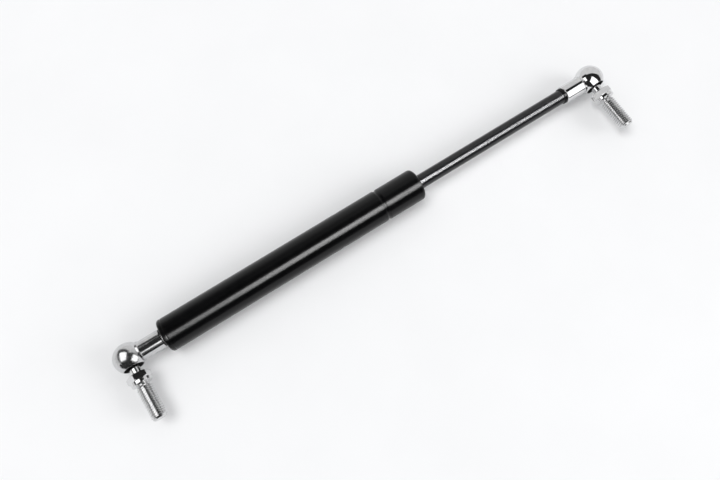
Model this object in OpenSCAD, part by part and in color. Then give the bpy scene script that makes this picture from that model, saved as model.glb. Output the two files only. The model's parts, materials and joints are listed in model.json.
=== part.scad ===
// Gas strut stay with an angle ball joint at each end.
// +X runs along the strut from the tube's ball joint to the rod's, +Z is up, and both studs
// point along -Y. The origin is on the axis of the stud at the tube's end, in the plane of its
// seat, which is the flange's outer face. The rod is fully out.

/* [Strut] */
// Outside diameter of the pressure tube
tube_d = 18; // [17:0.5:20]
// Wall thickness of the pressure tube
tube_wall = 1.2; // [1:0.1:1.4]
// Distance from the first ball's centre to the tube
tube_start = 20; // [19.5:0.5:24]
// Length of the pressure tube
tube_len = 155; // [152:1:260]
// Diameter of the piston rod
rod_d = 8; // [6:0.5:8]
// Length of rod that shows when the rod is fully out
rod_out = 98.5; // [98.5:0.5:160]

/* [Tube forming] */
// Radius of the rolled corners at both ends of the tube
corner_r = 2; // [1.5:0.1:2.2]
// Thickness of the rolled lips that hold the plug and the guide in
lip_t = 1.4; // [1:0.1:1.6]
// Distance from the bead's far edge to the tube's rod end
bead_from_end = 22; // [22:0.5:26]
// Width of the rolled bead
bead_w = 3; // [2.4:0.1:3.4]
// Depth of the rolled bead
bead_depth = 0.7; // [0.4:0.05:0.8]

/* [Ball joints] */
// Diameter of the balls
ball_d = 10; // [9.6:0.1:10]
// Diameter of the round ball housings
housing_d = 16; // [15.5:0.1:17]
// Distance from the ball's centre to the housing's flat mouth
mouth_reach = 5.7; // [5.6:0.1:5.8]
// Diameter of the sockets' shanks
shank_d = 10; // [9.5:0.1:11]
// Distance from the ball's centre to the end of the shank
socket_reach = 19; // [18:0.5:19]
// Radial running clearance of the ball in its socket
ball_clear = 0.05; // [0.02:0.01:0.08]
// Diameter of the round wire of the retaining rings
ring_wire_d = 1.2; // [1:0.1:1.2]

/* [Studs] */
// Outside diameter of the studs' threads
thread_d = 8; // [6:0.5:8]
// Distance across the flats of the studs' hexagons
hex_af = 11; // [10:0.5:12]
// Thickness of the hexagons
hex_h = 3.5; // [3:0.1:4]
// How far the tube-end stud's hexagon is turned, in degrees. At 0 it has a flat on top
tube_end_hex_turn = 40; // [0:5:60]
// How far the rod-end stud's hexagon is turned, in degrees. At 0 it has a flat on top
rod_end_hex_turn = 0; // [0:5:60]
// Diameter of the round flanges that seat against the bracket
flange_d = 10.8; // [9:0.1:11]
// Thickness of the flanges
flange_h = 1.8; // [1:0.1:2]
// Distance from the ball's centre to the seat, the flange's outer face
seat_reach = 15; // [15:0.1:16]
// Distance from the ball's centre to the tip of the stud
stud_reach = 34.5; // [28:0.5:40]
// Diameter of the neck between the ball and the hexagon
neck_d = 5.6; // [5:0.1:6]

/* [Hidden] */
$fn = 96;
eps = 0.01;
gap = 0.05;                                // Radial gap between parts that are pressed or rolled in
run = 0.03;                                // Radial running clearance of seals, bushes and rings

tube_r = tube_d / 2;
bore_r = tube_r - tube_wall;
tube_end = tube_start + tube_len;
bead_x = tube_end - bead_from_end - bead_w;
fit_r = bore_r - gap;                      // Radius of the parts held inside the tube
lip_r = 6.4;                               // Inner radius of both rolled lips
corner_steps = 8;
bead_steps = 16;

plug_x = tube_start + lip_t;               // The plug's shoulder rests against the rolled lip
plug_len = 11.6;
plug_boss_r = 4.6;
plug_groove_x = plug_x + 5.6;

rod_r = rod_d / 2;
spigot_r = 2.5;
screw_r = 2.95;                            // Radius of the M6 ends inside the shanks
screw_hole_r = 3;
screw_len = 9.4;
screw_hole_len = 10.5;
end_ring_t = 1.5;
end_ring_r = rod_r + 0.5;
rod_end = tube_end + rod_out;
ball_spacing = rod_end + end_ring_t + socket_reach;

shoulder_x = bead_x - 3;                   // The rod steps down to its spigot here
disc_t = 1;
piston_len = 8;
piston_r = bore_r - 0.3;
piston_x = shoulder_x - disc_t - piston_len;
head_t = 1.4;
ring_groove_w = 3;
ring_groove_r = 6.1;
ring_groove_x = piston_x + (piston_len - ring_groove_w) / 2;

seal_x = bead_x + bead_w + 1.2;
seal_len = 6;
spacer_x = seal_x + seal_len;
guide_x = spacer_x + 1;
end_washer_t = 1.2;
guide_end = tube_end - lip_t - end_washer_t;
wiper_len = 2.2;
wiper_x = guide_end - wiper_len;
wiper_r = 6.2;
bush_r = 4.9;
bush_len = 8;
guide_groove_x = guide_x + 4.2;

ball_r = ball_d / 2;
housing_r = housing_d / 2;
shank_r = shank_d / 2;
collar_r = shank_r + 0.6;
collar_x = 7;
seat_r = ball_r + ball_clear;
entry_r = ball_r + 0.12;                   // The ball goes in through this straight bore
mouth_chamfer = 0.2;
ring_drop = 3;                             // The retaining ring lies this far below the ball's centre
ring_groove_h = ring_wire_d + 0.2;
ring_seat_r = 6.2;                         // The groove is wide enough for the ring to open round the ball
release_r = 0.55;                          // Radius of the hole that a pin goes through to free the ring
release_angle = 62;
thread_r = thread_d / 2;
tip_chamfer = 0.8;
hex_r = hex_af / 2 / cos(30);
flange_r = flange_d / 2;

// Moves a part that was drawn about the X axis onto the strut's own axis.
module on_strut() {
    translate([0, seat_reach, 0]) children();
}

// Stands a shape that was drawn along +Z on the X axis, from x onwards.
module along_x(x) {
    translate([x, 0, 0]) rotate([0, 90, 0]) children();
}

// A round disc on the X axis, with chamfered rims when c is given.
module disc(x, len, r, c = 0) {
    along_x(x) {
        if (c > 0) {
            cylinder(h = c, r1 = r - c, r2 = r);
            translate([0, 0, c]) cylinder(h = len - 2 * c, r = r);
            translate([0, 0, len - c]) cylinder(h = c, r1 = r, r2 = r - c);
        } else {
            cylinder(h = len, r = r);
        }
    }
}

// A washer or sleeve on the X axis.
module sleeve(x, len, outer, inner) {
    difference() {
        disc(x, len, outer);
        disc(x - 1, len + 2, inner);
    }
}

// A square groove cut into the outside of a round part.
module outside_groove(x, width, outer, bottom) {
    sleeve(x, width, outer + 1, bottom);
}

// A ring of round section about the X axis.
module round_ring(x, major, minor) {
    along_x(x) rotate_extrude() translate([major, 0]) circle(r = minor);
}

function corner(x, from, to) =
    [for (i = [0 : corner_steps])
        let (a = from + (to - from) * i / corner_steps)
        [tube_r - corner_r + corner_r * cos(a), x + corner_r * sin(a)]];

function bead(r) =
    [for (i = [0 : bead_steps])
        [r - bead_depth * (1 - cos(360 * i / bead_steps)) / 2, bead_x + bead_w * i / bead_steps]];

function reversed(points) = [for (i = [len(points) - 1 : -1 : 0]) points[i]];

module pressure_tube() {
    outline = concat(
        corner(tube_start + corner_r, -90, 0),
        bead(tube_r),
        corner(tube_end - corner_r, 0, 90),
        [[lip_r, tube_end], [lip_r, tube_end - lip_t], [bore_r, tube_end - lip_t]],
        reversed(bead(bore_r)),
        [[bore_r, plug_x], [lip_r, plug_x], [lip_r, tube_start]]);
    color([0.04, 0.04, 0.045]) on_strut() along_x(0) rotate_extrude() polygon(outline);
}

module end_plug() {
    color("silver") on_strut() difference() {
        union() {
            disc(plug_x, plug_len, fit_r, 0.4);
            disc(tube_start + 0.3, lip_t + 1, lip_r - gap);
            disc(socket_reach, plug_len, plug_boss_r);
            disc(socket_reach - screw_len, screw_len + 2, screw_r, 0.6);
        }
        outside_groove(plug_groove_x, 2.6, fit_r, 6.05);
        disc(plug_x + plug_len - 4, 5, 4);
    }
}

module end_plug_o_ring() {
    color("dimgray") on_strut() round_ring(plug_groove_x + 1.3, 6.93, 0.85);
}

module stop_washer() {
    color("silver") on_strut() sleeve(bead_x + bead_w, 1.2, fit_r, rod_r + 0.3);
}

// A rubber ring with an open cup towards the gas, and a running lip at each end.
module rod_seal() {
    lip_len = 1;
    color("dimgray") on_strut() difference() {
        disc(seal_x, seal_len, fit_r);
        disc(seal_x - 1, seal_len + 2, rod_r + run);
        sleeve(seal_x - 1, 3.5, 6.6, 5.2);
        disc(seal_x + lip_len, seal_len - 2 * lip_len, rod_r + 0.4);
    }
}

module seal_spacer() {
    color("silver") on_strut() sleeve(spacer_x, 1, fit_r, rod_r + 0.3);
}

module rod_guide() {
    color("lightgray") on_strut() difference() {
        disc(guide_x, guide_end - guide_x, fit_r);
        disc(guide_x - 1, 20, rod_r + 0.3);
        disc(guide_x - 1, bush_len + 1, bush_r);
        disc(wiper_x, wiper_len + 1, wiper_r);
        outside_groove(guide_groove_x, 2.3, fit_r, 6.25);
    }
}

module guide_o_ring() {
    color("dimgray") on_strut() round_ring(guide_groove_x + 1.15, 7.03, 0.75);
}

module guide_bush() {
    color("peru") on_strut() sleeve(guide_x, bush_len, bush_r, rod_r + run);
}

module wiper_ring() {
    color("dimgray") on_strut() difference() {
        sleeve(wiper_x, wiper_len, wiper_r, rod_r + run);
        disc(wiper_x + 0.7, wiper_len, rod_r + 0.8);
    }
}

module end_washer() {
    color("silver") on_strut() sleeve(guide_end, end_washer_t, fit_r, rod_r + 0.4);
}

// The rod steps down to a spigot that carries the piston and ends in a riveted head.
// Its outer end is an M6 screw inside the socket's shank.
module piston_rod() {
    color([0.09, 0.09, 0.1]) on_strut() {
        disc(shoulder_x, rod_end - shoulder_x, rod_r);
        disc(piston_x - disc_t - eps, piston_len + 2 * disc_t + 1, spigot_r);
        disc(piston_x - disc_t - head_t, head_t, 3.5, 0.5);
        disc(rod_end - 1, end_ring_t + screw_len + 1, screw_r, 0.6);
    }
}

module orifice_disc() {
    color("silver") on_strut() difference() {
        sleeve(shoulder_x - disc_t, disc_t, 6.6, spigot_r + run);
        translate([0, 0, 5]) disc(shoulder_x - disc_t - 1, 3, 0.4);
    }
}

module piston() {
    ports = 3;
    color("lightgray") on_strut() difference() {
        disc(piston_x, piston_len, piston_r, 0.4);
        disc(piston_x - 1, piston_len + 2, spigot_r + run);
        outside_groove(ring_groove_x, ring_groove_w, piston_r, ring_groove_r);
        for (i = [0 : ports - 1])
            rotate([360 * i / ports, 0, 0]) translate([0, 0, 4.7]) disc(piston_x - 1, piston_len + 2, 0.9);
    }
}

// A slit plastic ring that seals the piston against the tube.
module piston_ring() {
    slit = 0.8;
    color("ivory") on_strut() difference() {
        sleeve(ring_groove_x + 0.1, ring_groove_w - 0.2, bore_r - run, ring_groove_r + 0.15);
        translate([ring_groove_x - 1, -slit / 2, 0]) cube([ring_groove_w + 2, slit, tube_r]);
    }
}

module piston_washer() {
    color("silver") on_strut() sleeve(piston_x - disc_t, disc_t, 5.4, spigot_r + run);
}

module rod_end_ring() {
    color([0.06, 0.06, 0.06]) on_strut() sleeve(rod_end, end_ring_t, end_ring_r, screw_r + 0.1);
}

// A round housing on a shank. Its mouth faces -Y, and its shank runs along +X.
module socket() {
    mouth_cut = 2 * housing_r;
    difference() {
        union() {
            sphere(r = housing_r);
            disc(collar_x - 2, 2, collar_r);
            disc(0, socket_reach, shank_r);
        }
        translate([-mouth_cut / 2, -mouth_reach - mouth_cut, -mouth_cut / 2]) cube(mouth_cut);
        sphere(r = seat_r);
        rotate([90, 0, 0]) {
            cylinder(h = mouth_reach + 1, r = entry_r);
            translate([0, 0, ring_drop - ring_groove_h / 2]) cylinder(h = ring_groove_h, r = ring_seat_r);
            translate([0, 0, mouth_reach - mouth_chamfer])
                cylinder(h = 2 * mouth_chamfer, r1 = entry_r, r2 = entry_r + 2 * mouth_chamfer);
        }
        disc(socket_reach - screw_hole_len, screw_hole_len + 1, screw_hole_r);
        translate([0, -ring_drop, 0]) rotate([0, release_angle, 0])
            translate([-housing_r, 0, 0]) rotate([0, 90, 0]) cylinder(h = 3, r = release_r);
    }
}

// An open ring of round wire that holds the ball in its socket.
module retaining_ring() {
    reach = ball_r + run + ring_wire_d / 2;
    major = sqrt(reach * reach - ring_drop * ring_drop);
    opening = 50;
    translate([0, -ring_drop, 0]) rotate([90, 180 + opening / 2, 0])
        rotate_extrude(angle = 360 - opening) translate([major, 0]) circle(r = ring_wire_d / 2);
}

// A ball on a neck, a hexagon to hold it by, a flange and a screw thread down to the tip.
module ball_stud(turn) {
    flange_top = seat_reach - flange_h;
    hex_top = flange_top - hex_h;
    chamfer_run = hex_h / tan(30);
    rotate([90, 0, 0]) {
        sphere(r = ball_r);
        cylinder(h = seat_reach, r = neck_d / 2);
        intersection() {
            translate([0, 0, hex_top]) rotate([0, 0, turn]) cylinder(h = hex_h, r = hex_r, $fn = 6);
            translate([0, 0, hex_top]) cylinder(h = hex_h, r1 = flange_r, r2 = flange_r + chamfer_run);
            translate([0, 0, hex_top]) cylinder(h = hex_h, r1 = flange_r + chamfer_run, r2 = flange_r);
        }
        translate([0, 0, flange_top - 1]) cylinder(h = flange_h + 1, r = flange_r);
        translate([0, 0, seat_reach - 1]) cylinder(h = stud_reach - tip_chamfer - seat_reach + 1, r = thread_r);
        translate([0, 0, stud_reach - tip_chamfer]) cylinder(h = tip_chamfer, r1 = thread_r, r2 = thread_r - tip_chamfer);
    }
}

// Puts a ball joint's part at the rod's end, turned round so that its shank meets the rod.
module at_rod_end() {
    translate([ball_spacing, 0, 0]) rotate([0, 180, 0]) children();
}

module tube_end_socket() { color("silver") on_strut() socket(); }
module tube_end_retaining_ring() { color("gray") on_strut() retaining_ring(); }
module tube_end_ball_stud() { color("silver") on_strut() ball_stud(tube_end_hex_turn); }
module rod_end_socket() { color("silver") on_strut() at_rod_end() socket(); }
module rod_end_retaining_ring() { color("gray") on_strut() at_rod_end() retaining_ring(); }
module rod_end_ball_stud() { color("silver") on_strut() at_rod_end() ball_stud(rod_end_hex_turn); }

pressure_tube();
end_plug();
end_plug_o_ring();
stop_washer();
rod_seal();
seal_spacer();
rod_guide();
guide_o_ring();
guide_bush();
wiper_ring();
end_washer();
piston_rod();
orifice_disc();
piston();
piston_ring();
piston_washer();
rod_end_ring();
tube_end_socket();
tube_end_retaining_ring();
tube_end_ball_stud();
rod_end_socket();
rod_end_retaining_ring();
rod_end_ball_stud();
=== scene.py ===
"""Looks for the gas strut stay: meshes, materials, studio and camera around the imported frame."""
import json
import math

import bmesh
import bpy
from mathutils import Matrix, Vector


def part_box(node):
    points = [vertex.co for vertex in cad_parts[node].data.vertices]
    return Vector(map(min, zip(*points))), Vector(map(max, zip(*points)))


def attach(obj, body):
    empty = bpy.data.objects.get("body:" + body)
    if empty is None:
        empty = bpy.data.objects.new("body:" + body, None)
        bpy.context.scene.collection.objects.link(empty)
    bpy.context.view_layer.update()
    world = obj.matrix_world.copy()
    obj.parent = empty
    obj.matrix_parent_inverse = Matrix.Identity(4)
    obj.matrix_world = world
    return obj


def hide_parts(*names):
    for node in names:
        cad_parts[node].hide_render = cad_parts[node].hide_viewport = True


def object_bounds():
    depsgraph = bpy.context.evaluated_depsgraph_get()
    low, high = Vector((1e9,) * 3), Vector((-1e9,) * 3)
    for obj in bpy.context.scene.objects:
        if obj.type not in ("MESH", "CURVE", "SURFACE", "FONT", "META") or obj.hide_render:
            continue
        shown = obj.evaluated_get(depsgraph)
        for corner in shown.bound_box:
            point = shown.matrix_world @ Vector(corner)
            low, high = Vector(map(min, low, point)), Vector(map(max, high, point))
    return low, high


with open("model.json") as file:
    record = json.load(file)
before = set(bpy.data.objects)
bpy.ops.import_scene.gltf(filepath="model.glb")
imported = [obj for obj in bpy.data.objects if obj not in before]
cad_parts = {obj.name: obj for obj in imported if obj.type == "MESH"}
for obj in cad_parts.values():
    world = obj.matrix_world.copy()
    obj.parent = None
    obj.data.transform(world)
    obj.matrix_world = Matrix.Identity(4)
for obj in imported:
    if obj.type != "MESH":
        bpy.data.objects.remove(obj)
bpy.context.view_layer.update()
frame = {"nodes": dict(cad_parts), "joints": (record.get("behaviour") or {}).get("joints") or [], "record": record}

MM = 0.001
ROUND_STEPS = 160           # Faces round a turned part
THREAD_STEPS = 96           # Faces round a threaded or six-sided part
SHARP_ANGLE = math.radians(26)
FILLET_STEP = math.radians(11)  # Largest turn of one step round a fillet

# ---------------------------------------------------------------- driving sizes, from the frame

joints = {joint["name"]: joint for joint in frame["joints"]}
mounts = {mount["name"]: mount for mount in frame["record"]["mounts"]}


def in_mm(value):
    """Metres from the frame as millimetres, without binary dust."""
    return round(value / MM, 4)


def span(node):
    """A CAD node's box as ((lowest), (highest)) in millimetres."""
    low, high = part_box(node)
    return [in_mm(v) for v in low], [in_mm(v) for v in high]


tube_ball = Vector(joints["tube_end_tilt"]["pos_m"])
rod_ball = Vector(joints["rod_end_tilt"]["pos_m"])
axis_y = in_mm(tube_ball.y)
ball_spacing = in_mm(rod_ball.x)

tube_low, tube_high = span("pressure_tube")
tube_x0, tube_x1 = tube_low[0], tube_high[0]
tube_r = tube_high[2]
rod_low, rod_high = span("piston_rod")
rod_r = rod_high[2]
ring_low = span("rod_end_ring")[0]
socket_low, socket_high = span("tube_end_socket")
housing_r = socket_high[2]
shank_end = socket_high[0]
mouth_reach = axis_y - socket_low[1]
stud_low = span("tube_end_ball_stud")[0]
stud_reach = axis_y - stud_low[1]
thread_r = mounts["tube_end_stud"]["dims"]["r_mm"]
seat_reach = axis_y - in_mm(mounts["tube_end_seat"]["pos_m"][1])

# ---------------------------------------------------------------- outlines


def arc(centre, radius, start, end, steps):
    """Points on an arc in (along, radius) millimetres. Angles are in degrees from the along axis."""
    points = []
    for i in range(steps + 1):
        a = math.radians(start + (end - start) * i / steps)
        points.append((centre[0] + radius * math.cos(a), centre[1] + radius * math.sin(a)))
    return points


def rounded(corners, guard=0.12):
    """An outline from corners given as (along, radius, fillet). Each fillet becomes an arc.
    Long straight stretches get a point near both ends, which keeps the shading of their faces true."""
    points = []
    last = len(corners) - 1
    for i, (x, r, fillet) in enumerate(corners):
        here = Vector((x, r))
        if fillet <= 0 or i in (0, last):
            points.append(here)
            continue
        back = (Vector(corners[i - 1][:2]) - here).normalized()
        ahead = (Vector(corners[i + 1][:2]) - here).normalized()
        half = back.angle(ahead) / 2
        reach = fillet / math.tan(half)
        centre = here + (back + ahead).normalized() * (fillet / math.sin(half))
        first = here + back * reach - centre
        final = here + ahead * reach - centre
        turn = math.pi - 2 * half
        side = 1 if first.x * final.y - first.y * final.x > 0 else -1
        steps = max(3, math.ceil(turn / FILLET_STEP))
        for k in range(steps + 1):
            a = side * turn * k / steps
            points.append(centre + Vector((first.x * math.cos(a) - first.y * math.sin(a),
                                           first.x * math.sin(a) + first.y * math.cos(a))))
    guarded = [points[0]]
    for a, b in zip(points, points[1:]):
        length = (b - a).length
        if length > 4 * guard:
            guarded.append(a + (b - a) * (guard / length))
            guarded.append(b + (a - b) * (guard / length))
        guarded.append(b)
    return [(p.x, p.y) for p in guarded]


# ---------------------------------------------------------------- mesh building


def finish_mesh(bm, name, place):
    """Cleans a bmesh drawn in millimetres about its own Z axis and puts it in the frame in metres."""
    bmesh.ops.remove_doubles(bm, verts=bm.verts, dist=1e-5)
    bmesh.ops.dissolve_degenerate(bm, dist=1e-6, edges=bm.edges)
    bmesh.ops.recalc_face_normals(bm, faces=bm.faces)
    bm.transform(place)
    mesh = bpy.data.meshes.new(name)
    bm.to_mesh(mesh)
    bm.free()
    mesh.shade_smooth()
    mesh.set_sharp_from_angle(angle=SHARP_ANGLE)
    piece = bpy.data.objects.new(name, mesh)
    bpy.context.scene.collection.objects.link(piece)
    return piece


def add_row(bm, ring):
    """One ring of vertices from (height, radius) pairs. A ring of one pair is a pole."""
    if len(ring) == 1:
        return [bm.verts.new((0, 0, ring[0][0]))]
    turn = 2 * math.pi / len(ring)
    return [bm.verts.new((r * math.cos(k * turn), r * math.sin(k * turn), z))
            for k, (z, r) in enumerate(ring)]


def skin(bm, low, high):
    """Faces between two rows of vertices, either of which may be a pole."""
    steps = max(len(low), len(high))
    for k in range(steps):
        n = (k + 1) % steps
        if len(low) == 1:
            bm.faces.new((low[0], high[n], high[k]))
        elif len(high) == 1:
            bm.faces.new((low[k], low[n], high[0]))
        else:
            bm.faces.new((low[k], low[n], high[n], high[k]))


def rings_of(outline, steps):
    """Full rings from an outline of (along, radius). A point on the axis gives a pole."""
    return [[(z, 0)] if r < 1e-6 else [(z, r)] * steps for z, r in outline]


def turned(name, outline, place, steps=ROUND_STEPS):
    """A solid of revolution from an outline of (along, radius). An outline that starts off the
    axis is closed onto itself, which gives a ring."""
    bm = bmesh.new()
    rows = [add_row(bm, ring) for ring in rings_of(outline, steps)]
    if outline[0][1] > 1e-6:
        rows.append(rows[0])
    for low, high in zip(rows, rows[1:]):
        skin(bm, low, high)
    return finish_mesh(bm, name, place)


# Where the crest and the root of a thread begin and end: (share of one pitch, share of the depth)
THREAD_FORM = [(0.0, 0.0), (0.26, 0.0), (0.51, 1.0), (0.75, 1.0)]
THREAD_DEPTH = 0.42


def thread_rings(start, end, crest_r, pitch, relief_r, tip_r, steps):
    """Rings that follow a screw's helix from start to end. The thread grows out of relief_r and
    ends in a cone that comes down to tip_r. No ring goes past either end."""
    rings = []
    for turn in range(-1, math.ceil((end - start) / pitch) + 1):
        for share, sunk in THREAD_FORM:
            ring = []
            for k in range(steps):
                z = min(max(start + pitch * (turn + share + k / steps), start), end)
                grown = min(1.0, (z - start) / (0.9 * pitch))
                r = crest_r - THREAD_DEPTH * pitch * sunk
                r = relief_r + (r - relief_r) * grown
                ring.append((z, min(r, tip_r + end - z)))
            rings.append(ring)
    return rings


def threaded(name, before, thread, place, steps=THREAD_STEPS):
    """A solid made of plain rings and a thread with a flat end. Each helical ring's last vertex
    is joined to the first vertex of the ring one turn on."""
    bm = bmesh.new()
    plain = [add_row(bm, ring) for ring in before]
    for low, high in zip(plain, plain[1:]):
        skin(bm, low, high)
    rows = [add_row(bm, ring) for ring in thread]
    per_turn = len(THREAD_FORM)
    for i, (low, high) in enumerate(zip(rows, rows[1:])):
        for k in range(steps - 1):
            bm.faces.new((low[k], low[k + 1], high[k + 1], high[k]))
        if i + per_turn + 1 < len(rows):
            bm.faces.new((low[-1], rows[i + per_turn][0], rows[i + per_turn + 1][0], high[-1]))
    skin(bm, plain[-1], rows[0])
    skin(bm, rows[-1], [bm.verts.new((0, 0, thread[-1][0][0]))])
    return finish_mesh(bm, name, place)


def cut_away(piece, tool):
    """Takes the tool's shape out of a piece and removes the tool."""
    modifier = piece.modifiers.new("cut", "BOOLEAN")
    modifier.operation = "DIFFERENCE"
    modifier.solver = "EXACT"
    modifier.object = tool
    bpy.context.view_layer.update()
    depsgraph = bpy.context.evaluated_depsgraph_get()
    result = bpy.data.meshes.new_from_object(piece.evaluated_get(depsgraph))
    result.name = piece.name
    piece.modifiers.clear()
    piece.data = result
    bpy.data.objects.remove(tool)


METRES = Matrix.Scale(MM, 4)
TO_PLUS_X = Matrix.Rotation(math.radians(90), 4, "Y")
TO_MINUS_X = Matrix.Rotation(math.radians(-90), 4, "Y")
TO_MINUS_Y = Matrix.Rotation(math.radians(90), 4, "X")
STRUT = METRES @ Matrix.Translation((0, axis_y, 0))
ALONG_STRUT = STRUT @ TO_PLUS_X
ROD_END = STRUT @ Matrix.Translation((ball_spacing, 0, 0)) @ Matrix.Rotation(math.radians(180), 4, "Y")

# ---------------------------------------------------------------- tube and the ring by the rod's end

WALL = 1.2
LIP = 1.4
LIP_R = 6.4
CORNER_R = 2.0
BEAD_FROM_END = 22.0
BEAD_W = 3.0
BEAD_DEPTH = 0.5
BORE_R = tube_r - WALL
CLOSED_CORNER_R = 1.6       # Rolled corner at the closed end
CRIMP_X = 2.4               # Fine line round the closed end, left by the crimping
CRIMP_DEPTH = 0.25
EDGE = 0.15                 # Radius of small broken edges
END_RING_LAP = 0.95         # How far the ring by the rod's end reaches in over the rod's face


def bead(radius):
    """The rolled bead's outline at one radius, as a smooth dip."""
    start = tube_x1 - BEAD_FROM_END - BEAD_W
    steps = 28
    return [(start + BEAD_W * i / steps, radius - BEAD_DEPTH * (1 - math.cos(2 * math.pi * i / steps)) / 2, 0)
            for i in range(steps + 1)]


def pressure_tube():
    outer = [(tube_x0 + LIP, BORE_R, 0), (tube_x0 + LIP, LIP_R, EDGE), (tube_x0, LIP_R, 0.5),
             (tube_x0, tube_r, CLOSED_CORNER_R)]
    outer += [(tube_x0 + CRIMP_X - 0.4, tube_r, 0.1), (tube_x0 + CRIMP_X, tube_r - CRIMP_DEPTH, 0.15),
              (tube_x0 + CRIMP_X + 0.4, tube_r, 0.1)]
    outer += bead(tube_r)
    outer += [(tube_x1, tube_r, CORNER_R), (tube_x1, LIP_R, 0.5), (tube_x1 - LIP, LIP_R, EDGE),
              (tube_x1 - LIP, BORE_R, 0)]
    return turned("pressure_tube_shell", rounded(outer + bead(BORE_R)[::-1]), ALONG_STRUT)


def washer(name, node, bore):
    """A flat ring with broken edges in the place of a CAD node."""
    low, high = span(node)
    x0, x1, r = low[0], high[0], high[2]
    start = (x0, bore + 0.5, 0)
    outline = [start, (x0, r, EDGE), (x1, r, EDGE), (x1, bore, EDGE), (x0, bore, EDGE), start]
    return turned(name, rounded(outline)[:-1], ALONG_STRUT)


def rod_end_ring():
    return washer("rod_end_ring_moulded", "rod_end_ring", rod_r - END_RING_LAP)


# ---------------------------------------------------------------- rod

SCREW_R = 2.95
SCREW_PITCH = 1.0
SCREW_TIP_R = 2.3
SCREW_RELIEF_R = 2.5
SCREW_RELIEF_LEN = 0.5
SPIGOT_R = 2.5
HEAD_R = 3.5
HEAD_T = 1.4
STACK = 10.0                # Length of the piston and its two washers on the spigot


def piston_rod():
    x0, x1 = rod_low[0], rod_high[0]
    shoulder = x0 + HEAD_T + STACK
    rod_end = ring_low[0]
    thread_start = rod_end + SCREW_RELIEF_LEN
    outline = [(x0, 0, 0), (x0, HEAD_R - 0.9, 0.4), (x0 + 0.6, HEAD_R, 0.3), (x0 + HEAD_T, HEAD_R, 0.1),
               (x0 + HEAD_T, SPIGOT_R, 0), (shoulder, SPIGOT_R, 0), (shoulder, rod_r, 0.3),
               (rod_end, rod_r, 0.2), (rod_end, SCREW_RELIEF_R, 0), (thread_start, SCREW_RELIEF_R, 0)]
    thread = thread_rings(thread_start, x1, SCREW_R, SCREW_PITCH, SCREW_RELIEF_R, SCREW_TIP_R, THREAD_STEPS)
    return threaded("piston_rod_ground", rings_of(rounded(outline), THREAD_STEPS), thread, ALONG_STRUT)


# ---------------------------------------------------------------- ball joints

BALL_R = 5.0
SEAT_R = 5.05
ENTRY_R = 5.12
COLLAR_R = 5.45
COLLAR_END = 7.0
SHANK_R = 5.0
SCREW_HOLE_R = 3.0
SCREW_HOLE_LEN = 10.5
RING_DROP = 3.0
RING_GROOVE_H = 1.4
RING_SEAT_R = 6.2
RELEASE_R = 0.55
RELEASE_ANGLE = 62
FEED_MARKS = "feed_marks"
FEED_LEAN = 0.27            # Slope of the feed marks on the shanks
SOCKET_STEPS = 176          # Faces round a housing and round its bore
RELEASE_STEPS = 32
SCREW_MOUTH = 0.4           # Chamfer at the screw hole's mouth
DRILL_POINT = 1.6           # Length of the cone at the screw hole's end
RELEASE_START = 5.6         # Where the release hole starts, in the retaining ring's groove
CLEAR = 4                   # How far the cutting tool runs on past the mouth


def socket(name, place):
    """A round housing on a shank along +X, opening towards -Y."""
    meet = math.degrees(math.acos(COLLAR_R / housing_r))
    sphere = arc((0, 0), housing_r, 180, 90 - meet, 88)
    hole_end = shank_end - SCREW_HOLE_LEN
    rest = rounded([sphere[-1] + (0,), (COLLAR_END, COLLAR_R, 0.18), (COLLAR_END, SHANK_R, 0.12),
                    (shank_end, SHANK_R, 0.5), (shank_end, SCREW_HOLE_R + SCREW_MOUTH, 0),
                    (shank_end - SCREW_MOUTH, SCREW_HOLE_R, 0), (hole_end, SCREW_HOLE_R, 0),
                    (hole_end - DRILL_POINT, 0, 0)])
    sphere[0] = (-housing_r, 0)
    piece = turned(name, sphere + rest[1:], place @ TO_PLUS_X, steps=SOCKET_STEPS)

    groove = RING_GROOVE_H / 2
    rim_r = math.sqrt(housing_r ** 2 - mouth_reach ** 2)
    bore = arc((0, 0), SEAT_R, 180, 90, 30)
    bore[0] = (-SEAT_R, 0)
    bore += rounded([(0, ENTRY_R, 0), (RING_DROP - groove, ENTRY_R, 0),
                     (RING_DROP - groove, RING_SEAT_R, 0.2), (RING_DROP + groove, RING_SEAT_R, 0.2),
                     (RING_DROP + groove, ENTRY_R, 0.1), (mouth_reach, ENTRY_R, 0.25),
                     (mouth_reach, rim_r + 2, 0), (mouth_reach + CLEAR, rim_r + 2, 0),
                     (mouth_reach + CLEAR, 0, 0)])
    cut_away(piece, turned("bore_tool", bore, place @ TO_MINUS_Y, steps=SOCKET_STEPS))

    around = Matrix.Rotation(math.radians(RELEASE_ANGLE), 4, "Y")
    aim = place @ Matrix.Translation((0, -RING_DROP, 0)) @ around @ TO_MINUS_X
    hole = [(RELEASE_START, 0), (RELEASE_START, RELEASE_R), (housing_r + 1, RELEASE_R), (housing_r + 1, 0)]
    cut_away(piece, turned("release_tool", hole, aim, steps=RELEASE_STEPS))
    smooth_housing(piece, place @ Vector((0, 0, 0)))
    mark_shank(piece, place)
    return piece


def mark_shank(piece, place):
    """Stores which way the feed marks lean on the faces of the shank, and nothing elsewhere."""
    mesh = piece.data
    to_local = place.inverted()
    along = (place.to_3x3() @ Vector((1, 0, 0))).normalized()
    attribute = mesh.attributes.new(FEED_MARKS, "FLOAT_VECTOR", "FACE")
    for polygon in mesh.polygons:
        points = [to_local @ mesh.vertices[v].co for v in polygon.vertices]
        on_shank = all(p.x > COLLAR_END - 0.05 and abs(math.hypot(p.y, p.z) - SHANK_R) < 0.01 for p in points)
        attribute.data[polygon.index].vector = along * FEED_LEAN if on_shank else (0, 0, 0)


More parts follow.
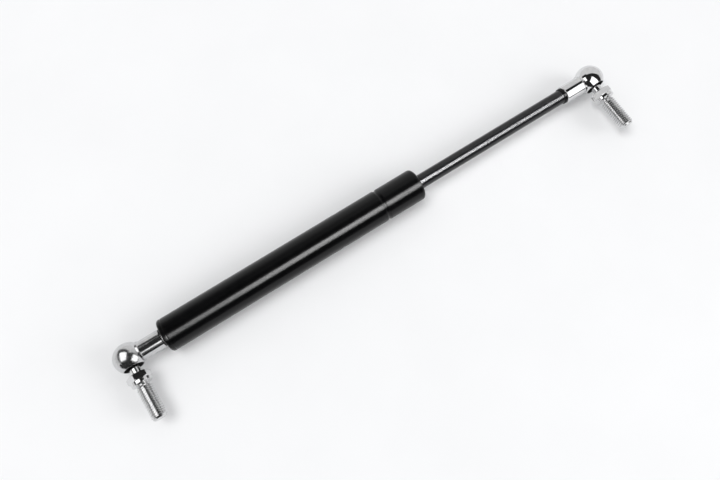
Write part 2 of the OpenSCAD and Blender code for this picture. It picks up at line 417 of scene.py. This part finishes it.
def smooth_housing(piece, centre):
    """Gives the round outside of a housing the exact normals of a sphere, which the cuts disturb."""
    mesh = piece.data
    mesh.shade_smooth()
    mesh.set_sharp_from_angle(angle=SHARP_ANGLE)
    normals = [Vector(corner.vector) for corner in mesh.corner_normals]
    reach = housing_r * MM
    for polygon in mesh.polygons:
        points = [mesh.vertices[v].co - centre for v in polygon.vertices]
        if all(abs(p.length - reach) < 0.02 * MM for p in points):
            for loop in polygon.loop_indices:
                normals[loop] = (mesh.vertices[mesh.loops[loop].vertex_index].co - centre).normalized()
    mesh.normals_split_custom_set(normals)


NECK_R = 2.8
NECK_MEET_R = 3.1           # Radius at which the ball runs into the neck
NECK_FILLET = 0.9
HEX_AF = 11.0               # Across the hexagon's flats
HEX_H = 3.5
FLANGE_R = 5.4
FLANGE_H = 1.8
CHAMFER_SLOPE = math.tan(math.radians(30))
RELIEF_R = 3.2
RELIEF_LEN = 1.0
THREAD_PITCH = 1.25
THREAD_TIP_R = 3.1
TUBE_END_TURN = 40          # How far each hexagon is turned, in degrees
ROD_END_TURN = 0


def ball_stud(name, place, turn):
    """A ball, a neck, a chamfered hexagon, a flange and a screw thread, along +Z from the ball's
    centre. The hexagon is turned by the given angle from one with a flat on top."""
    steps = THREAD_STEPS
    hex_outer = seat_reach - FLANGE_H
    hex_inner = hex_outer - HEX_H
    meet = math.degrees(math.asin(NECK_MEET_R / BALL_R))
    ball = arc((0, 0), BALL_R, 180, meet, 44)
    ball[0] = (-BALL_R, 0)
    neck = rounded([ball[-1] + (0,), (ball[-1][0] + NECK_FILLET, NECK_R, NECK_FILLET),
                    (hex_inner, NECK_R, 0.8), (hex_inner, FLANGE_R, 0)])
    rings = rings_of(ball + neck[1:], steps)
    corner = []
    for k in range(steps):
        off = (360 * k / steps) % 60 - 30
        corner.append(HEX_AF / 2 / math.cos(math.radians(off)))
    rings.append([(hex_inner + (r - FLANGE_R) * CHAMFER_SLOPE, r) for r in corner])
    rings.append([(hex_outer - (r - FLANGE_R) * CHAMFER_SLOPE, r) for r in corner])
    seat = rounded([(hex_outer, FLANGE_R, 0), (seat_reach, FLANGE_R, 0.25), (seat_reach, RELIEF_R, 0.25),
                    (seat_reach + RELIEF_LEN, RELIEF_R, 0)])
    rings += rings_of(seat, steps)
    thread = thread_rings(seat_reach + RELIEF_LEN, stud_reach, thread_r, THREAD_PITCH, RELIEF_R,
                          THREAD_TIP_R, steps)
    aim = place @ TO_MINUS_Y @ Matrix.Rotation(math.radians(turn), 4, "Z")
    return threaded(name, rings, thread, aim)


# ---------------------------------------------------------------- materials


class Shader:
    """Builds a node material around one Principled BSDF."""

    def __init__(self, name, colour, metallic, roughness):
        self.material = bpy.data.materials.new(name)
        self.material.use_nodes = True
        self.nodes = self.material.node_tree.nodes
        self.links = self.material.node_tree.links
        self.bsdf = self.nodes["Principled BSDF"]
        self.bsdf.inputs["Base Color"].default_value = (*colour, 1)
        self.bsdf.inputs["Metallic"].default_value = metallic
        self.bsdf.inputs["Roughness"].default_value = roughness
        self.place = self.nodes.new("ShaderNodeTexCoord").outputs["Object"]

    def node(self, kind, **settings):
        node = self.nodes.new(kind)
        for key, value in settings.items():
            setattr(node, key, value)
        return node

    def to_world(self):
        return self.node("ShaderNodeVectorTransform", vector_type="VECTOR", convert_from="OBJECT",
                         convert_to="WORLD")

    def brushed(self, amount):
        """Stretches highlights along the strut, as fine marks that run round a turned part do."""
        along = self.to_world()
        along.inputs["Vector"].default_value = (1, 0, 0)
        self.links.new(along.outputs["Vector"], self.bsdf.inputs["Tangent"])
        self.bsdf.inputs["Anisotropic"].default_value = amount

    def noise(self, size_mm, detail=3.0, stretch=(1, 1, 1)):
        """Noise whose features are about size_mm across, stretched along the axes by the given factors."""
        mapping = self.nodes.new("ShaderNodeMapping")
        mapping.inputs["Scale"].default_value = [1 / (f * size_mm * MM) for f in stretch]
        texture = self.nodes.new("ShaderNodeTexNoise")
        texture.inputs["Scale"].default_value = 1.0
        texture.inputs["Detail"].default_value = detail
        self.links.new(self.place, mapping.inputs["Vector"])
        self.links.new(mapping.outputs["Vector"], texture.inputs["Vector"])
        return texture.outputs["Fac"]

    def remap(self, value, low, high, start=0.35, end=0.65):
        node = self.nodes.new("ShaderNodeMapRange")
        node.inputs["From Min"].default_value = start
        node.inputs["From Max"].default_value = end
        node.inputs["To Min"].default_value = low
        node.inputs["To Max"].default_value = high
        self.links.new(value, node.inputs["Value"])
        return node.outputs["Result"]

    def rough(self, value):
        self.links.new(value, self.bsdf.inputs["Roughness"])

    def tint(self, value, dark, light):
        """Colour that runs from dark to light as value runs from 0 to 1."""
        ramp = self.nodes.new("ShaderNodeValToRGB")
        ramp.color_ramp.elements[0].color = (*dark, 1)
        ramp.color_ramp.elements[1].color = (*light, 1)
        ramp.color_ramp.elements[0].position = 0.3
        ramp.color_ramp.elements[1].position = 0.7
        self.links.new(value, ramp.inputs["Fac"])
        self.links.new(ramp.outputs["Color"], self.bsdf.inputs["Base Color"])

    def bump(self, value, height_mm):
        """Adds relief, height_mm deep, on top of any relief that is there already."""
        node = self.nodes.new("ShaderNodeBump")
        node.inputs["Strength"].default_value = 1.0
        node.inputs["Distance"].default_value = height_mm * MM
        self.links.new(value, node.inputs["Height"])
        normal = self.bsdf.inputs["Normal"]
        if normal.is_linked:
            self.links.new(normal.links[0].from_socket, node.inputs["Normal"])
        self.links.new(node.outputs["Normal"], normal)


def black_paint():
    """Satin black enamel on the tube, with fine orange peel and a little haze."""
    shader = Shader("satin_black_paint", (0.003, 0.003, 0.003), 0.0, 0.30)
    shader.bsdf.inputs["Specular IOR Level"].default_value = 0.27
    shader.tint(shader.noise(14, 2), (0.0010, 0.0010, 0.0012), (0.0018, 0.0018, 0.0020))
    shader.rough(shader.remap(shader.noise(3.5, 4), 0.28, 0.33))
    shader.brushed(1.0)
    shader.bump(shader.noise(0.8, 2), 0.003)
    shader.bump(shader.noise(0.12, 2), 0.0006)
    return shader.material


def black_rod():
    """Black nitrided rod, ground and polished round its axis."""
    shader = Shader("black_nitrided_steel", (0.020, 0.020, 0.022), 0.5, 0.19)
    shader.tint(shader.noise(5, 3), (0.020, 0.020, 0.021), (0.030, 0.030, 0.032))
    shader.rough(shader.remap(shader.noise(1.2, 3, (0.2, 1, 1)), 0.175, 0.20))
    shader.brushed(1.0)
    shader.bump(shader.noise(0.25, 2, (0.12, 1, 1)), 0.00012)
    return shader.material


def bright_plating(name, haze, shade):
    """Bright zinc plating: nearly a mirror on round faces, with faint ripple, haze and fine marks.
    Faces that carry FEED_MARKS are brushed, and the marks lean the mirror image their way."""
    shader = Shader(name, (shade, shade, shade), 1.0, haze)
    dark = (shade - 0.05, shade - 0.05, shade - 0.04)
    shader.tint(shader.noise(2.5, 4), dark, (shade + 0.05, shade + 0.05, shade + 0.05))
    shader.bump(shader.noise(1.6, 2), 0.003)
    shader.bump(shader.noise(0.10, 2), 0.0003)
    links = shader.links

    lean = shader.node("ShaderNodeAttribute", attribute_name=FEED_MARKS)
    turned_face = shader.node("ShaderNodeMath", operation="MULTIPLY")
    turned_face.inputs[1].default_value = 1 / FEED_LEAN
    size = shader.node("ShaderNodeVectorMath", operation="LENGTH")
    links.new(lean.outputs["Vector"], size.inputs[0])
    links.new(size.outputs["Value"], turned_face.inputs[0])
    rough = shader.node("ShaderNodeMix", data_type="FLOAT")
    links.new(turned_face.outputs["Value"], rough.inputs["Factor"])
    links.new(shader.remap(shader.noise(0.9, 5), haze * 0.75, haze * 1.3), rough.inputs["A"])
    links.new(shader.remap(shader.noise(0.3, 3, (0.2, 1, 1)), 0.09, 0.13), rough.inputs["B"])
    shader.rough(rough.outputs["Result"])

    shader.brushed(0)
    links.new(turned_face.outputs["Value"], shader.bsdf.inputs["Anisotropic"])
    to_world = shader.to_world()
    links.new(lean.outputs["Vector"], to_world.inputs["Vector"])
    leaned = shader.node("ShaderNodeVectorMath", operation="ADD")
    links.new(shader.bsdf.inputs["Normal"].links[0].from_socket, leaned.inputs[0])
    links.new(to_world.outputs["Vector"], leaned.inputs[1])
    unit = shader.node("ShaderNodeVectorMath", operation="NORMALIZE")
    links.new(leaned.outputs["Vector"], unit.inputs[0])
    links.new(unit.outputs["Vector"], shader.bsdf.inputs["Normal"])
    return shader.material


def painted_shade_pocket():
    """Painted shade: the inside of a ball joint's housing made near black, standing in for the shade deep in the
    gap round the ball.
    """
    shader = Shader("painted_shade_pocket", (0.004, 0.004, 0.004), 0.0, 0.5)
    shader.tint(shader.noise(1.5, 3), (0.002, 0.002, 0.002), (0.006, 0.006, 0.005))
    shader.rough(shader.remap(shader.noise(0.7, 3), 0.35, 0.6))
    shader.bump(shader.noise(0.4, 3), 0.01)
    return shader.material


def turned_steel(name, light, rough):
    """Plain turned or stamped steel, with fine rings from the tool."""
    shader = Shader(name, (light, light, light), 1.0, rough)
    shader.tint(shader.noise(1.5, 3), (light * 0.86,) * 3, (light * 1.06,) * 3)
    shader.rough(shader.remap(shader.noise(0.5, 3), rough - 0.06, rough + 0.08))
    shader.bump(shader.noise(0.15, 2, (0.3, 1, 1)), 0.0015)
    return shader.material


def rubber(name, dark):
    shader = Shader(name, (dark, dark, dark), 0.0, 0.6)
    shader.tint(shader.noise(1.2, 3), (dark * 0.8,) * 3, (dark * 1.35,) * 3)
    shader.rough(shader.remap(shader.noise(0.4, 3), 0.5, 0.68))
    shader.bump(shader.noise(0.12, 3), 0.002)
    return shader.material


def bronze():
    shader = Shader("turned_bronze", (0.55, 0.37, 0.18), 1.0, 0.3)
    shader.tint(shader.noise(1.4, 3), (0.46, 0.30, 0.14), (0.60, 0.41, 0.21))
    shader.rough(shader.remap(shader.noise(0.4, 3), 0.24, 0.38))
    shader.bump(shader.noise(0.15, 2, (0.3, 1, 1)), 0.0015)
    return shader.material


def plastic():
    shader = Shader("natural_moulded_plastic", (0.80, 0.77, 0.68), 0.0, 0.4)
    shader.tint(shader.noise(2.0, 3), (0.74, 0.71, 0.62), (0.83, 0.80, 0.71))
    shader.rough(shader.remap(shader.noise(0.6, 3), 0.34, 0.48))
    shader.bump(shader.noise(0.2, 2), 0.001)
    return shader.material


def wear(piece, material):
    piece.data.materials.clear()
    piece.data.materials.append(material)


def wear_where(piece, place, material, chosen):
    """Gives a second material to the faces whose centre is chosen, in the part's own millimetres."""
    mesh = piece.data
    mesh.materials.append(material)
    to_local = place.inverted()
    for polygon in mesh.polygons:
        if chosen(to_local @ polygon.center):
            polygon.material_index = 1


def in_pocket(point):
    """Inside a housing's ball pocket or its release hole: the faces that get the painted shade."""
    return point.length < housing_r - 0.3


def on_thread(point):
    """On a stud, beyond its flange."""
    return point.y < -seat_reach


# ---------------------------------------------------------------- assembly

paint = black_paint()
rod_black = black_rod()
bright = bright_plating("bright_zinc_plating", 0.08, 0.72)
hazy = bright_plating("hazy_zinc_plating", 0.21, 0.62)
steel = turned_steel("turned_steel", 0.55, 0.28)
spring_steel = turned_steel("spring_steel", 0.42, 0.22)
blackened = turned_steel("blackened_steel", 0.04, 0.4)
cast = turned_steel("die_cast_aluminium", 0.62, 0.4)
nitrile = rubber("nitrile_rubber", 0.022)
bush_bronze = bronze()
natural = plastic()

CAD_MATERIALS = {
    "end_plug": blackened, "end_plug_o_ring": nitrile, "stop_washer": steel, "rod_seal": nitrile,
    "seal_spacer": steel, "rod_guide": cast, "guide_o_ring": nitrile, "guide_bush": bush_bronze,
    "wiper_ring": nitrile, "end_washer": steel, "orifice_disc": steel, "piston": cast,
    "piston_ring": natural, "piston_washer": steel, "tube_end_retaining_ring": spring_steel,
    "rod_end_retaining_ring": spring_steel,
}
for node, material in CAD_MATERIALS.items():
    wear(frame["nodes"][node], material)

PIECES = [
    (pressure_tube(), "pressure_tube", "cylinder", "tube", paint),
    (piston_rod(), "piston_rod", "rod", "rod", rod_black),
    (rod_end_ring(), "rod_end_ring", "rod", "end_ring", paint),
    (socket("tube_end_housing", STRUT), "tube_end_socket", "cylinder", "bright", hazy),
    (socket("rod_end_housing", ROD_END), "rod_end_socket", "rod", "bright", bright),
    (ball_stud("tube_end_stud_threaded", STRUT, TUBE_END_TURN), "tube_end_ball_stud", "tube_end_stud",
     "bright", bright),
    (ball_stud("rod_end_stud_threaded", ROD_END, ROD_END_TURN), "rod_end_ball_stud", "rod_end_stud",
     "bright", bright),
]
pieces = {}
for piece, node, body, slot, material in PIECES:
    pieces[node] = piece
    wear(piece, material)
    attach(piece, body)
    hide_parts(node)
# The pocket material is painted shade: near black inside each housing, where shade falls in the gap round the
# ball.
pocket = painted_shade_pocket()
threaded_zinc = bright_plating("threaded_zinc_plating", 0.20, 0.64)
for end, place in (("tube_end", STRUT), ("rod_end", ROD_END)):
    wear_where(pieces[end + "_socket"], place, pocket, in_pocket)
    wear_where(pieces[end + "_ball_stud"], place, threaded_zinc, on_thread)

# ---------------------------------------------------------------- studio

FLOOR_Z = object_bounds()[0].z
FLOOR_SIZE = 16.0           # In metres. Its far edge is a faint line in low views


def floor():
    """A wide pale table under the object."""
    bpy.ops.mesh.primitive_plane_add(size=FLOOR_SIZE, location=(tube_ball.x + 0.15, tube_ball.y, FLOOR_Z))
    plane = bpy.context.object
    plane.name = "floor"
    shader = Shader("pale_table", (0.9, 0.9, 0.9), 0.0, 0.6)
    shader.tint(shader.noise(60, 3), (0.885, 0.890, 0.895), (0.905, 0.910, 0.915))
    shader.bsdf.inputs["Specular IOR Level"].default_value = 0.2
    plane.data.materials.append(shader.material)
    return plane


def board(name, centre, across, up, glow):
    """A flat board that only shows in reflections. It is placed from the tube end's ball in
    millimetres, and across and up are half its sides."""
    centre, across, up = Vector(centre), Vector(across), Vector(up)
    corners = [centre - across - up, centre + across - up, centre + across + up, centre - across + up]
    mesh = bpy.data.meshes.new(name)
    mesh.from_pydata([tube_ball + c * MM for c in corners], [], [(0, 1, 2, 3)])
    material = bpy.data.materials.new(name)
    material.use_nodes = True
    nodes, links = material.node_tree.nodes, material.node_tree.links
    nodes.clear()
    emission = nodes.new("ShaderNodeEmission")
    emission.inputs["Strength"].default_value = glow
    output = nodes.new("ShaderNodeOutputMaterial")
    links.new(emission.outputs["Emission"], output.inputs["Surface"])
    mesh.materials.append(material)
    piece = bpy.data.objects.new(name, mesh)
    bpy.context.scene.collection.objects.link(piece)
    piece.visible_camera = False
    piece.visible_diffuse = False
    piece.visible_shadow = False
    return piece


def softbox(name, centre, across, up, glow, hood):
    """A bright panel in the middle of a dark one, which is hood times as large and just behind it."""
    across, up = Vector(across), Vector(up)
    back = across.cross(up).normalized()
    if back.z < 0:
        back = -back
    board(name + "_hood", Vector(centre) + back * 3, across * hood, up * hood, DARK)
    return board(name, centre, across, up, glow)


def hide_from(light, pieces):
    """Keeps one light off some pieces."""
    unlit = bpy.data.collections.new(light.name + "_unlit")
    for piece in pieces:
        unlit.objects.link(piece)
    light.light_linking.receiver_collection = unlit
    for entry in unlit.collection_objects:
        entry.light_linking.link_state = "EXCLUDE"


def sun(name, towards, strength):
    """A soft, even light from the direction of a softbox. It isn't mirrored."""
    lamp = bpy.data.lights.new(name, "SUN")
    lamp.energy = strength
    lamp.angle = math.radians(34)
    piece = bpy.data.objects.new(name, lamp)
    piece.rotation_euler = Vector(towards).to_track_quat("Z", "Y").to_euler()
    piece.visible_glossy = False
    bpy.context.scene.collection.objects.link(piece)


def strip_lamp(name, centre, across, up, glow):
    """A lamp that is only seen as a streak in the black parts. Its sizes are given as a board's."""
    centre, across, up = Vector(centre), Vector(across), Vector(up)
    away = across.cross(up).normalized()
    if away.dot(centre) < 0:
        across, away = -across, -away
    lamp = bpy.data.lights.new(name, "AREA")
    lamp.shape = "RECTANGLE"
    lamp.size = 2 * across.length * MM
    lamp.size_y = 2 * up.length * MM
    lamp.energy = glow * math.pi * lamp.size * lamp.size_y
    piece = bpy.data.objects.new(name, lamp)
    turn = Matrix((across.normalized(), away.cross(across).normalized(), away)).transposed()
    piece.matrix_world = Matrix.Translation(tube_ball + centre * MM) @ turn.to_4x4()
    piece.visible_camera = False
    piece.visible_diffuse = False
    bpy.context.scene.collection.objects.link(piece)
    return piece


def sky(ambient, mirrored, seen):
    """Even light for matt surfaces, pale walls in reflections, and a paler backdrop for the camera."""
    world = bpy.data.worlds.new("studio")
    bpy.context.scene.world = world
    world.use_nodes = True
    nodes, links = world.node_tree.nodes, world.node_tree.links
    background = nodes["Background"]
    path = nodes.new("ShaderNodeLightPath")
    mix = nodes.new("ShaderNodeMix")
    mix.data_type = "RGBA"
    mix.inputs["A"].default_value = (ambient, ambient, ambient * 1.01, 1)
    mix.inputs["B"].default_value = (mirrored, mirrored, mirrored, 1)
    links.new(path.outputs["Is Glossy Ray"], mix.inputs["Factor"])
    backdrop = nodes.new("ShaderNodeMix")
    backdrop.data_type = "RGBA"
    backdrop.inputs["B"].default_value = (seen, seen, seen, 1)
    links.new(path.outputs["Is Camera Ray"], backdrop.inputs["Factor"])
    links.new(mix.outputs["Result"], backdrop.inputs["A"])
    links.new(backdrop.outputs["Result"], background.inputs["Color"])
    world.cycles.sampling_method = "NONE"


DARK = 0.022                # Glow of hoods and dark boards
GLOW = 1.9                  # Glow of the softboxes
HOOD = 1.87                 # A hood's size as a multiple of its softbox's
GLOW_ON_TUBE = 50
GLOW_ON_ROD = 150
LEFT_BOX = (-75, 49, 236)   # Centres of the softboxes, in millimetres from the tube end's ball
RIGHT_BOX = (269, -210, 156)
LEFT_SUN = 1.04
RIGHT_SUN = 1.1
AMBIENT = 0.62
MIRRORED = 0.78
BACKDROP = 0.95

LENS_MM = 32.45
SENSOR_MM = 36.0
CAMERA_AZIMUTH = math.radians(-122.65)
CAMERA_ELEVATION = math.radians(72.73)
CAMERA_DISTANCE = 0.3444
CAMERA_AIM = tube_ball + Vector((0.1312, -0.0103, 0))


def camera():
    data = bpy.data.cameras.new("camera")
    data.lens = LENS_MM
    data.sensor_width = SENSOR_MM
    data.clip_start = 0.01
    piece = bpy.data.objects.new("camera", data)
    away = Vector((math.cos(CAMERA_ELEVATION) * math.cos(CAMERA_AZIMUTH),
                   math.cos(CAMERA_ELEVATION) * math.sin(CAMERA_AZIMUTH), math.sin(CAMERA_ELEVATION)))
    piece.location = CAMERA_AIM + away * CAMERA_DISTANCE
    piece.rotation_euler = (-away).to_track_quat("-Z", "Y").to_euler()
    bpy.context.scene.collection.objects.link(piece)
    bpy.context.scene.camera = piece


table = floor()
dark_parts = [pieces[node] for node in ("pressure_tube", "piston_rod", "rod_end_ring")]
bright_parts = [piece for piece in pieces.values() if piece not in dark_parts]
left = softbox("left_softbox", LEFT_BOX, (-65, -110, 48), (83, -23, 60), GLOW, HOOD)
right = softbox("right_softbox", RIGHT_BOX, (98, 87, -11), (-71, 94, 102), GLOW, HOOD)
hide_from(left, dark_parts)
hide_from(right, dark_parts)
tube_strip = strip_lamp("strip_on_tube", (315, -152, 258), (185, 15, 8), (0, 62, 37), GLOW_ON_TUBE)
hide_from(tube_strip, bright_parts + [table, pieces["piston_rod"]])
rod_strip = strip_lamp("strip_on_rod", (280, -150, 260), (240, 10, 6), (0, 92, 53), GLOW_ON_ROD)
hide_from(rod_strip, bright_parts + [table, pieces["pressure_tube"], pieces["rod_end_ring"]])
board("dark_ceiling", (332, -383, 450), (549, -300, 0), (228, 416, 0), DARK)
board("dark_room", (-366, -500, 583), (1127, 0, 0), (0, 0, 583), DARK)
sun("soft_left", LEFT_BOX, LEFT_SUN)
sun("soft_right", RIGHT_BOX, RIGHT_SUN)
sky(AMBIENT, MIRRORED, BACKDROP)
camera()
bpy.context.scene.view_settings.view_transform = "Standard"
